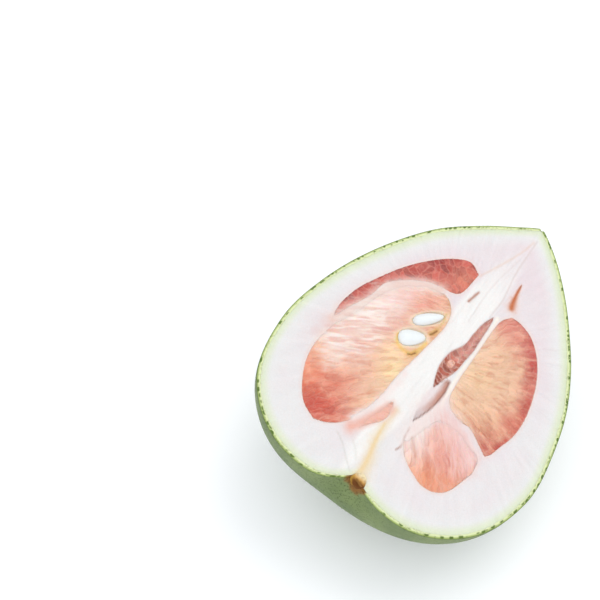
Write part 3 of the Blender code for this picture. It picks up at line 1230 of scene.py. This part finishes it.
    def build(self, finish: bpy.types.Material) -> bpy.types.Object:
        """Build the pith as a closed body: the face, then rings down round the back.

        Args:
            finish: The material of the pith.

        Returns:
            The object.
        """
        flat = self.face_grid()
        patch = self.shape(flat[..., 0], flat[..., 1])
        face = patch.points().reshape(-1, 3)
        index = np.arange(len(face)).reshape(self.steps, self.steps)
        quads = np.stack([index[:-1, :-1], index[1:, :-1], index[1:, 1:], index[:-1, 1:]],
                         -1).reshape(-1, 4)
        border = np.concatenate([index[:-1, 0], index[-1, :-1], index[:0:-1, -1],
                                 index[0, :0:-1]])
        points = np.concatenate([face, self.back(face[border])])
        pole = len(points) - 1
        rings = np.concatenate([border[None], np.arange(len(face), pole).reshape(
            self.back_rings - 1, -1)])
        after = np.roll(rings, -1, axis=1)
        skirt = np.stack([rings[:-1], after[:-1], after[1:], rings[1:]], -1).reshape(-1, 4)
        fans = np.stack([rings[-1], after[-1], np.full(len(border), pole)], -1)
        quads = quads if self.faces_up(face, quads) else quads[:, ::-1]
        if np.cross(face[border[5]][:2], face[border[6]][:2]) > 0:
            skirt, fans = skirt[:, ::-1], fans[:, ::-1]
        hidden = np.broadcast_to(np.array(self.white), (len(points) - len(face), 3))
        tints = np.concatenate([patch.colour.reshape(-1, 3), hidden])
        piece = Builder.mesh("pith_body", points, np.concatenate([quads, skirt]), fans, tints,
                             lowest=self.least_height)
        return Builder.dress(piece, finish, "peel", "peel")

    @staticmethod
    def faces_up(face: np.ndarray, quads: np.ndarray) -> bool:
        """Tell whether the face's quads turn anticlockwise seen from above."""
        a, b, c = (face[quads[0, k]][:2] for k in (0, 1, 2))
        return float(np.cross(b - a, c - a)) > 0


@dataclass(frozen=True)
class Trough:
    """The shallow hollow that runs on from the fissure, deepest along the septum, with a painted
    shadow along the septum.
    """

    outline: tuple[tuple[float, float], ...] = (
        (-15, -8.2), (-18, -6), (-24, -3.4), (-32, -3.2), (-40, -4.6), (-47, -6.5),
        (-43, -8.4), (-36, -10.4), (-28.5, -11.5), (-22, -11.6), (-15, -10.2))
    septum: tuple[tuple[float, float], ...] = (
        (-13, -10), (-22, -11.6), (-28.5, -11.5), (-36, -10.4), (-43, -8.4), (-47.5, -6.4))
    depth: float = 2.6
    pale: Colour = shade(218, 206, 205)
    # The warm and the dark colour are painted shadow: the shade under the septum's lip.
    warm_shadow: Colour = shade(202, 142, 120)
    dark: Colour = shade(136, 92, 78)

    def carve(self, patch: Patch) -> None:
        """Sink the pith towards the septum and colour it from pale to a painted brown shadow
        beside the septum.
        """
        inside = ramp(0.4, -0.8, patch.to_outline(self.outline))
        beside = patch.to_line(self.septum)
        wander = 0.8 * Lattice(31).layered(patch.x / 5, patch.y / 3)
        patch.tint(self.pale, 0.9 * inside)
        # Painted shadow: warm brown, then dark brown, laid along the septum where its lip shades
        # the trough.
        shadow_share = ramp(-44, -26, patch.x) * ramp(5.0, 1.4, beside + wander)
        patch.tint(self.warm_shadow, 0.85 * inside * shadow_share)
        patch.tint(self.dark, 0.8 * inside * ramp(1.5, 0.5, beside))
        patch.z = patch.z - self.depth * inside * ramp(5.5, 0.8, beside)


@dataclass
class Fissure(Outlined):
    """The open gap beside the core, lined with the ends of juice sacs."""

    sections: Pairs
    depth: float = 5.5
    rim: Colour = shade(226, 196, 188)
    near: Colour = shade(186, 106, 88)
    far: Colour = shade(144, 64, 42)
    pink: Colour = shade(224, 166, 156)
    web: Colour = shade(232, 190, 178)
    blob: tuple[float, float, float] = (-5.5, -4.4, 3.0)
    blob_colour: Colour = shade(226, 176, 158)
    rows: int = 420
    across: int = 140
    outline_steps: int = 70

    def line_with_sacs(self, patch: Patch, fall: np.ndarray) -> None:
        """Raise rows of sac ends with paler webs between them.

        Args:
            patch: The lining.
            fall: The share of the full depth at each place.
        """
        noise = Lattice(77)
        x, y = patch.x, patch.y
        p = x / 3.1 + 0.45 * noise.layered(x / 5, y / 3)
        q = y / 7.5 + 0.3 * noise.layered(x / 5, y / 5)
        cells = Cells.read(p, q, 91)
        inside = ramp(0.1, 0.35, fall)
        patch.tint(self.near, inside * 0.95)
        patch.tint(self.far, inside * ramp(0, -18, x) * 0.75)
        patch.tint(self.pink, inside * ramp(-4, 8, x) * 0.9)
        patch.colour *= (1 + 0.5 * (cells.tag - 0.5) * inside)[..., None]
        patch.tint(self.web, 0.75 * inside * (1 - ramp(0.05, 0.4, cells.border)))
        blob_x, blob_y, reach = self.blob
        near = ramp(1.0, 0.55, np.hypot((x - blob_x) / 1.3, y - blob_y) / reach)
        patch.tint(self.blob_colour, 0.9 * near)
        domes = 1.1 * np.sqrt(np.clip(cells.border, 0, 0.5) / 0.5) - 0.4
        patch.z = patch.z + inside * domes + 2.4 * near

    def build(self, finish: bpy.types.Material) -> bpy.types.Object:
        """Build the lining as a thin trough: half an ellipse across, shallow at both ends.

        Args:
            finish: The material of the lining.

        Returns:
            The object.
        """
        along, across = np.meshgrid(np.linspace(0.015, 0.985, self.rows),
                                    np.linspace(-1.14, 1.14, self.across), indexing="ij")
        flat = self.plane(along, across)
        fall = np.sqrt(np.clip(1 - across**2, 0, 1))
        patch = Patch.plain(flat[..., 0], flat[..., 1], self.rim)
        patch.z = -0.05 - 0.6 * ramp(1.0, 1.1, np.abs(across))
        patch.z = patch.z - self.depth * np.sin(math.pi * along) ** 0.6 * fall
        self.line_with_sacs(patch, fall)
        top = patch.points()
        under = top[:, ::-12].copy()
        under[..., 2] -= 0.9
        rings = np.concatenate([top, under], axis=1)
        tint = np.clip(np.concatenate([patch.colour, patch.colour[:, ::-12]], axis=1), 0, 1)
        return Builder.dress(Builder.tube("fissure_lining", rings, tint), finish, "pulp_red")


@dataclass(frozen=True)
class Rind:
    """The green skin, as a shell with a cut edge that shows round the face."""

    thickness: float = 2.3
    rows: int = 430
    outer_steps: int = 130
    inner_steps: int = 44
    edge_steps: int = 7
    end_gap: float = 0.008
    gland_steps: float = 29.0
    far_side: float = 50.0
    edge_swell: float = 0.28
    dimple: float = 0.9
    lowest: float = 0.8

    def build(self, finish: bpy.types.Material) -> bpy.types.Object:
        """Build the shell from closed sections across the axis.

        Each section runs round the skin from the large side to the small side, in across
        the cut edge, back round the inside and out again across the other edge.

        Args:
            finish: The material of the rind.

        Returns:
            The object.
        """
        share = np.linspace(self.end_gap, 1 - self.end_gap, self.rows)
        angles = ((0.5 - 0.5 * np.cos(share * math.pi)) * 0.45 + share * 0.55) * math.pi
        outer = np.linspace(0, -math.pi, self.outer_steps)
        inner = np.linspace(-math.pi, 0, self.inner_steps)
        edge = np.linspace(0, 1, self.edge_steps + 2)[1:-1]
        roll = np.concatenate([outer, np.full(len(edge), -math.pi), inner, np.zeros(len(edge))])
        sunk = np.concatenate([np.zeros(len(outer)), edge, np.ones(len(inner)), edge[::-1]])
        lift = np.concatenate([np.zeros(len(outer)), np.sin(edge * math.pi),
                               np.zeros(len(inner)), np.sin(edge * math.pi)])
        angle_grid, roll_grid = np.meshgrid(angles, roll, indexing="ij")
        rings = SKIN.point(angle_grid, roll_grid, self.thickness * sunk[None, :])
        to_stem = np.linalg.norm(rings - np.array(STEM_PLACE), axis=-1)
        scar = ramp(8.0, 5.2, to_stem + 1.2 * Lattice(5).layered(rings[..., 1] / 3,
                                                                 rings[..., 2] / 3))
        rings[..., 2] += self.edge_swell * lift[None, :] - self.dimple * ramp(
            8.5, 5.5, to_stem) * (rings[..., 2] > -0.5)
        extras = {"tone": np.broadcast_to(sunk, angle_grid.shape).copy(),
                  "arc": angle_grid * self.gland_steps + (roll_grid < -1) * self.far_side,
                  "scar": scar}
        lowest = np.broadcast_to(self.lowest * sunk, angle_grid.shape)
        piece = Builder.tube("rind_shell", rings, None, extras, lowest)
        return Builder.dress(piece, finish, "peel", "peel")


@dataclass(frozen=True)
class StemRemnant:
    """The dark half plug of stem tissue in its dimple."""

    inner_end: float = -87.5
    outer_end: float = -96.0
    offset: float = -2.8
    radius: float = 5.5
    sunk: float = 0.55
    steps: int = 80
    round_steps: int = 60
    flat_steps: int = 40
    bark: Colour = shade(96, 54, 14)
    tan: Colour = shade(196, 148, 76)
    pale: Colour = shade(222, 206, 168)
    amber: Colour = shade(178, 138, 50)

    def build(self, finish: bpy.types.Material) -> bpy.types.Object:
        """Build the plug from half discs along its axis, with a ragged end.

        Args:
            finish: The material of the stem.

        Returns:
            The object.
        """
        along = np.linspace(0, 1, self.steps)
        turn = np.concatenate([np.linspace(0, -math.pi, self.round_steps),
                               np.full(self.flat_steps, -math.pi)])
        chord = np.concatenate([np.ones(self.round_steps),
                                np.linspace(1, -1, self.flat_steps + 2)[1:-1]])
        along_grid, turn_grid = np.meshgrid(along, turn, indexing="ij")
        chord_grid = np.broadcast_to(chord, along_grid.shape)
        flat = chord_grid < 1
        noise = Lattice(23).layered(along_grid * 3, turn_grid * 2 + chord_grid * 1.5)
        taper = 0.86 * (1 - 0.45 * along_grid**2) * np.sqrt(ramp(-0.15, 0.35, along_grid)) * (
            1 + 0.05 * noise)
        side = np.where(flat, -chord_grid, np.cos(turn_grid))
        down = np.where(flat, 0.0, np.sin(turn_grid))
        hump = -0.3 * np.cos(chord_grid * math.pi / 2) * flat * ramp(0.7, 0.1, along_grid)
        x = self.outer_end + (self.inner_end - self.outer_end) * along_grid + 0.3 * noise
        y = self.offset + self.radius * taper * side
        z = self.radius * taper * down + hump - self.sunk + 0.15 * noise * flat
        rings = np.stack([x, y, z], -1)
        colour = np.broadcast_to(np.array(self.bark), rings.shape).copy()
        colour = mix(colour, self.tan, ramp(0.25, 0.6, along_grid) * flat)
        colour = mix(colour, self.pale, ramp(0.45, 0.85, along_grid))
        colour = mix(colour, self.amber, 0.7 * ramp(0.5, 0.95, side) * (
            1 - ramp(0.4, 0.8, along_grid)))
        piece = Builder.tube("stem_plug", rings, colour)
        return Builder.dress(piece, finish, "stem", "stem_remnant")


LARGE_SEGMENT = (
    ((-80, 36), (-80, 36)), ((-76, 45), (-77, 29)), ((-68, 52), (-71, 22.5)),
    ((-56, 58), (-62, 18.5)), ((-43, 60), (-47, 15.5)), ((-29, 58), (-32, 15)),
    ((-14, 53.5), (-16, 13)), ((2, 49), (0, 11)), ((13, 43), (10, 10.5)),
    ((21.5, 33), (18, 12.5)), ((24, 26), (23, 17)), ((24.5, 21), (24.5, 21)),
)
UPPER_SEGMENT = (
    ((-28, 61.5), (-28, 61.5)), ((-16, 62.5), (-15, 57.5)), ((-3, 60), (-3, 53)),
    ((9, 55), (8, 51)), ((21, 49), (16, 44.5)), ((33, 41), (24, 34)),
    ((44, 31), (27, 25)), ((50, 21), (31, 15)), ((47, 13), (47, 13)),
)
RIGHT_SEGMENT = (
    ((38, -16), (38, -16)), ((38, -22), (32, -12.5)), ((35, -31), (22, -12)),
    ((27, -40), (10, -12.5)), ((16, -47), (-2, -13)), ((4, -51.5), (-13, -13.5)),
    ((-8, -54), (-25, -16)), ((-19, -54), (-30, -25)), ((-29, -51.5), (-30, -33)),
    ((-35, -50), (-34.5, -42)), ((-38, -48), (-38, -48)),
)
LOWER_SEGMENT = (
    ((-50, -48), (-50, -48)), ((-66, -43.5), (-42, -46)), ((-72, -37), (-39, -39.5)),
    ((-73, -30), (-36, -32)), ((-71, -24), (-35.5, -25)), ((-68.5, -18.5), (-37, -18.5)),
    ((-65, -13.5), (-47, -13.5)), ((-60, -9.5), (-60, -9.5)),
)
SLIVER_SEGMENT = (
    ((-69, 14), (-69, 14)), ((-62, 13.5), (-63, 10.5)), ((-55, 11.5), (-57, 6.5)),
    ((-49, 9.5), (-50, 6)), ((-45, 8), (-45, 8)),
)
FISSURE_SECTIONS = (
    ((-24, -4.5), (-24, -4.5)), ((-17, -1.5), (-15, -7)), ((-10, 0), (-8, -9)),
    ((-1, -0.5), (0, -9.5)), ((7, -4), (8, -10)), ((16, -4.5), (16, -9.5)),
    ((25, -5.5), (25, -9)), ((32, -8), (32, -8)),
)

PEACH = shade(214, 166, 142)
YELLOW = shade(226, 202, 154)


def make_segments() -> tuple[Segment, ...]:
    """Describe the five segments that the cut opens."""
    return (
        Segment("large_pulp", "segment_large", "pulp_orange", LARGE_SEGMENT, (40, -50), 6.5,
                2.2, PEACH, shade(210, 138, 110), shade(214, 172, 138),
                dabs=(Dab(-62, 50, 13, shade(212, 118, 80), 0.9),
                      Dab(-60, 38, 12, shade(200, 106, 80), 0.75),
                      Dab(-74, 40, 15, shade(190, 72, 46), 0.85),
                      Dab(-77, 37, 9, shade(180, 48, 28), 0.85),
                      Dab(-73, 27, 9, shade(186, 74, 52), 0.8),
                      Dab(-66, 22, 6, shade(206, 140, 124), 0.7),
                      Dab(-44, 58, 7, shade(222, 172, 140), 0.7),
                      Dab(-46, 18, 9, shade(214, 172, 144), 0.8),
                      Dab(-30, 19, 9, YELLOW, 0.85), Dab(-20, 26, 8, YELLOW, 0.6),
                      Dab(-10, 33, 8, shade(212, 156, 136), 0.6)),
                web=shade(232, 190, 164), web_share=0.1, seed=3, rows=430, across=220),
        Segment("upper_pulp", "segment_upper", "pulp_red", UPPER_SEGMENT, (-6, -8), 5.0, 4.0,
                shade(168, 54, 38), shade(148, 26, 18), shade(178, 78, 56),
                dabs=(Dab(40, 18, 7, shade(192, 116, 92), 0.85),
                      Dab(30, 24, 7, shade(192, 112, 94), 0.8),
                      Dab(40, 34, 8, shade(146, 22, 18), 0.8),
                      Dab(49, 22, 5, shade(164, 48, 38), 0.7)),
                web=shade(208, 126, 108), web_share=0.5, variety=0.45, seed=13, rows=380,
                across=110, sunk=0.35),
        Segment("right_pulp", "segment_right", "pulp_pink", RIGHT_SEGMENT, (-15, 10), 5.0, 2.1,
                shade(212, 172, 141), shade(172, 56, 44), shade(219, 186, 158),
                dabs=(Dab(35, -18, 13, shade(204, 122, 110), 0.85),
                      Dab(30, -34, 9, shade(184, 80, 72), 0.85),
                      Dab(10, -47, 8, shade(186, 88, 74), 0.7),
                      Dab(-34, -46, 9, shade(176, 62, 44), 0.9),
                      Dab(-14, -50, 9, shade(192, 96, 74), 0.85),
                      Dab(-26, -36, 7, shade(200, 140, 108), 0.6),
                      Dab(-4, -20, 9, shade(216, 180, 138), 0.6)),
                web=shade(230, 190, 160), web_share=0.12, seed=23, rows=360, across=210),
        Segment("lower_pulp", "segment_lower", "pulp_salmon", LOWER_SEGMENT, (20, 35), 8.0,
                2.4, shade(212, 156, 140), shade(220, 158, 130), shade(210, 164, 156),
                dabs=(Dab(-68, -30, 10, shade(212, 138, 100), 0.9),
                      Dab(-64, -42, 9, shade(208, 132, 100), 0.9),
                      Dab(-54, -32, 7, shade(204, 132, 118), 0.7),
                      Dab(-64, -14, 7, shade(224, 196, 184), 0.9)),
                web=shade(230, 190, 176), web_share=0.08, seed=33, rows=300, across=200),
        Segment("sliver_pulp", "segment_sliver", "pulp_pale", SLIVER_SEGMENT, (-36, -20), 5, 1.5,
                shade(214, 160, 142), shade(216, 168, 150), shade(216, 170, 154),
                web=shade(226, 190, 174), web_share=0.08, seed=43, rows=150, across=60,
                thickness=2.0, sunk=0.2),
    )


def make_creases() -> tuple[Crease, ...]:
    """Describe the slits, veins and fibres on the cut face."""
    tan = shade(222, 194, 140)
    brown = shade(188, 104, 60)
    faint = shade(204, 190, 186)
    return (
        Crease(((-93, -3), (-86, -2), (-78, 0), (-70, 3), (-59, 4), (-48, 4)), 4.6,
               shade(220, 204, 178), 0.9, 0.1, 2.0),
        Crease(((-94, 0), (-86, -0.5), (-77, 1), (-68, 3), (-58, 4.5)), 2.0, tan, 0.65, 0.1,
               0.6),
        Crease(((-78, 21.5), (-82, 15), (-87.5, 9), (-91.5, 3.5)), 0.5, shade(190, 186, 176),
               0.35, 0.2),
        Crease(((-76.5, 12.5), (-80.5, 8), (-84.5, 5)), 0.5, shade(196, 192, 180), 0.3, 0.15),
        Crease(((-84, 9.5), (-80, 13)), 2.6, shade(224, 222, 220), 0.45, -0.3),
        Crease(((47, 12), (60, 6.5), (74, 1.6), (84, -0.6)), 0.7, shade(214, 188, 172), 0.5,
               0.1),
        Crease(((30, -6), (44, -6), (62, -3), (86, -1.8)), 0.5, faint, 0.6, 0.15),
        Crease(((20, 2), (44, 3), (70, 0)), 0.5, faint, 0.35, 0.15),
        Crease(((32, -10), (13, -11.3), (-7, -11.6), (-22, -12.6), (-31, -14)), 1.3,
               shade(230, 226, 216), 0.95, -0.25),
        Crease(((43, -12.6), (47, -11.3), (52, -10.2), (58, -9.4)), 3.0, shade(220, 176, 150),
               0.8, 0.2, 0.5),
        Crease(((43, -12.6), (47, -11.3), (52, -10.2), (58, -9.4)), 1.9, brown, 0.95, 0.9,
               0.3),
        Crease(((30, 8.5), (34, 7.8), (38, 7)), 0.8, shade(170, 110, 84), 0.85, 0.5),
        Crease(((-66, -8.5), (-62, -9.6), (-57, -8.2), (-51, -7.4)), 0.5,
               shade(160, 104, 78), 0.8, 0.5),
    )


@dataclass(frozen=True)
class Lamp:
    """A square soft light that faces the fruit, with its place and side in metres."""

    name: str
    place: tuple[float, float, float]
    size: float
    power: float
    colour: Colour

    def build(self) -> None:
        """Hang the light."""
        data = bpy.data.lights.new(self.name, "AREA")
        data.size = self.size
        data.energy = self.power
        data.color = self.colour
        lamp = bpy.data.objects.new(self.name, data)
        lamp.location = self.place
        lamp.rotation_euler = (-Vector(self.place)).to_track_quat("-Z", "Y").to_euler()
        bpy.context.scene.collection.objects.link(lamp)


@dataclass(frozen=True)
class Studio:
    """The floor, the soft lights and the camera.

    The offset is where the camera sees the fruit's origin: to the right, up and back, in
    millimetres. The floor's size is in metres.
    """

    elevation: float = math.radians(60.0)
    lens: float = 107.56
    offset: tuple[float, float, float] = (81.96, -27.1, -972.06)
    sensor: float = 36.0
    floor_size: float = 6.0
    floor_colour: Colour = (0.975, 0.98, 1.0)
    sky: Colour = (0.955, 0.975, 1.0)
    sky_strength: float = 1.1
    lamps: tuple[Lamp, ...] = (
        Lamp("key", (0.7, 0.5, 1.7), 1.3, 9.0, (1.0, 0.99, 0.97)),
        Lamp("fill", (-0.8, -1.3, 0.5), 1.4, 6.0, (0.97, 0.98, 1.0)),
    )

    def build_floor(self) -> None:
        """Lay a plain pale floor at the height of the flat spot."""
        half = self.floor_size / 2
        mesh = bpy.data.meshes.new("floor")
        corners = ((-half, -half, 0), (half, -half, 0), (half, half, 0), (-half, half, 0))
        mesh.from_pydata(corners, (), ((0, 1, 2, 3),))
        floor = bpy.data.objects.new("floor", mesh)
        bpy.context.scene.collection.objects.link(floor)
        shader = Shader("floor")
        shader.set(Base_Color=self.floor_colour, Roughness=0.75, Specular_IOR_Level=0.2)
        mesh.materials.append(shader.material)

    def build_camera(self) -> None:
        """Set up the camera, looking down along +Y at the fruit's origin from the side."""
        sine, cosine = math.sin(self.elevation), math.cos(self.elevation)
        right = np.array((1.0, 0.0, 0.0))
        up = np.array((0.0, sine, cosine))
        back = np.array((0.0, -cosine, sine))
        away = self.offset[0] * right + self.offset[1] * up + self.offset[2] * back
        data = bpy.data.cameras.new("camera")
        data.lens = self.lens
        data.sensor_width = self.sensor
        data.clip_start = 0.05
        camera = bpy.data.objects.new("camera", data)
        camera.location = (POSE.centre() - away) * MM
        camera.rotation_euler = (math.pi / 2 - self.elevation, 0.0, 0.0)
        bpy.context.scene.collection.objects.link(camera)
        bpy.context.scene.camera = camera

    def build(self) -> None:
        """Set up the whole studio."""
        self.build_floor()
        for lamp in self.lamps:
            lamp.build()
        world = bpy.data.worlds.new("studio")
        world.use_nodes = True
        background = world.node_tree.nodes["Background"]
        background.inputs["Color"].default_value = (*self.sky, 1.0)
        background.inputs["Strength"].default_value = self.sky_strength
        bpy.context.scene.world = world
        self.build_camera()
        bpy.context.scene.view_settings.view_transform = "Standard"
        LOG.info("studio ready")


def main() -> None:
    """Build every piece of the fruit, then the studio round it."""
    logging.basicConfig(level=logging.INFO, format="%(name)s: %(message)s")
    segments = make_segments()
    fissure = Fissure(FISSURE_SECTIONS)
    Rind().build(RindFinish().material())
    Pith(segments, fissure, Trough(), make_creases()).build(PithFinish().material())
    pulp = PulpFinish().material()
    for segment in segments:
        pocket = SeedPocket() if segment.node == "segment_large" else None
        segment.build(pulp, pocket)
    fissure.build(PulpFinish("fissure_sacs", 0.35, 0.3).material())
    coat = SeedFinish().material()
    for seed in SEEDS:
        seed.build(coat)
    StemRemnant().build(StemFinish().material())
    Studio().build()


if __name__ == "__main__":
    main()
